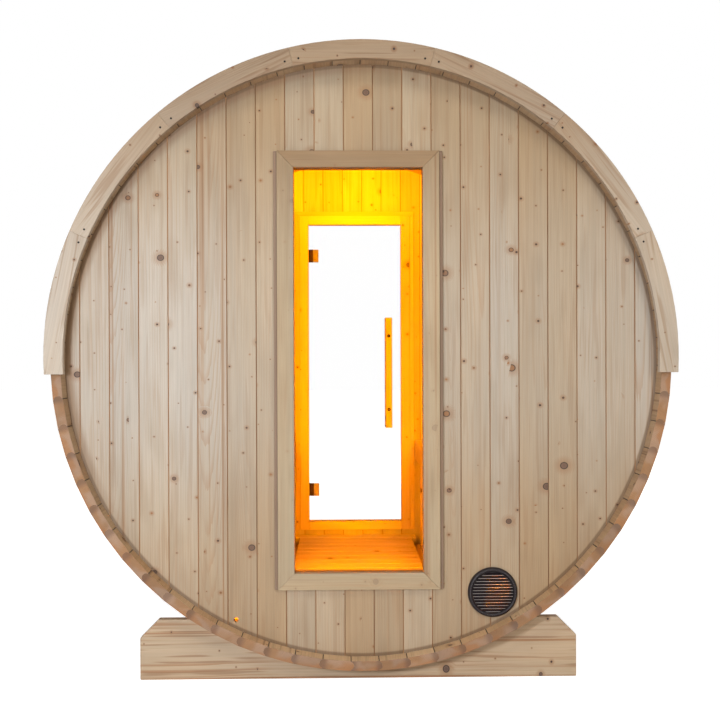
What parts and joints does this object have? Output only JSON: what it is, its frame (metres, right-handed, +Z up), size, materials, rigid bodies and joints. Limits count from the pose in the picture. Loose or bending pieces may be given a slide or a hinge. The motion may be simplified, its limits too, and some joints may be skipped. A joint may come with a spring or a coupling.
{
  "type": "barrel sauna house",
  "caption": "Barrel-shaped sauna cabin of staves on two cradles, with boarded end walls, a tall fixed window, an arched fascia, a shingle roof and a hinged glass door.",
  "frame": {"origin": "middle of the building on the ground, between the two cradles", "axes": "+Z up, -Y towards the window end, +Y towards the door end, +X to the right seen from the window end"},
  "size_m": [2.264, 2.15, 2.315],
  "materials": {
    "stave_wood": "satin",
    "wall_boards": "satin",
    "trim_wood": "satin",
    "batten_wood": "satin",
    "fascia_wood": "satin",
    "frame_timber": "satin",
    "cabin_wood": "satin",
    "handle_wood": "satin",
    "clear_glass": "gloss",
    "black_plastic": "satin",
    "steel": "brushed",
    "shingle": "matte"
  },
  "bodies": {
    "house": {"staves_bottom": "stave_wood", "staves_lower_left": "stave_wood", "staves_upper_left": "stave_wood", "staves_top": "stave_wood", "staves_upper_right": "stave_wood", "staves_lower_right": "stave_wood", "front_wall_left": "wall_boards", "front_wall_right": "wall_boards", "front_wall_over_window": "wall_boards", "front_wall_under_window": "wall_boards", "rear_wall_left": "wall_boards", "rear_wall_right": "wall_boards", "rear_wall_over_door": "wall_boards", "rear_wall_under_door": "wall_boards", "window_jambs": "trim_wood", "window_glass": "clear_glass", "window_beads": "trim_wood", "window_casing": "trim_wood", "window_side_battens": "batten_wood", "vent_grille": "black_plastic", "door_frame": "cabin_wood", "door_casing": "trim_wood", "door_inner_strips": "cabin_wood", "door_hinge_bases": "steel", "floor_slats": "cabin_wood", "floor_bearers": "frame_timber", "bench_right_seat": "cabin_wood", "bench_right_apron": "cabin_wood", "bench_right_frame": "cabin_wood", "bench_left_seat": "cabin_wood", "bench_left_apron": "cabin_wood", "bench_left_frame": "cabin_wood", "fascia_front": "fascia_wood", "fascia_rear": "fascia_wood", "roof_courses_right": "shingle", "roof_courses_left": "shingle", "roof_ridge_cap": "shingle", "barrel_bands": "steel", "cradle_front": "frame_timber", "cradle_rear": "frame_timber"},
    "door": {"door_glass": "clear_glass", "door_hinge_leaves": "steel", "door_handle_inner": "handle_wood", "door_handle_outer": "handle_wood", "door_handle_bolts": "steel"}
  },
  "joints": [
    {"name": "door_swing", "type": "hinge", "parent": "house", "child": "door", "pos_m": [-0.27, 1.016, 1.17], "axis": [0, 0, 1], "range_deg": [0, 110]}
  ]
}
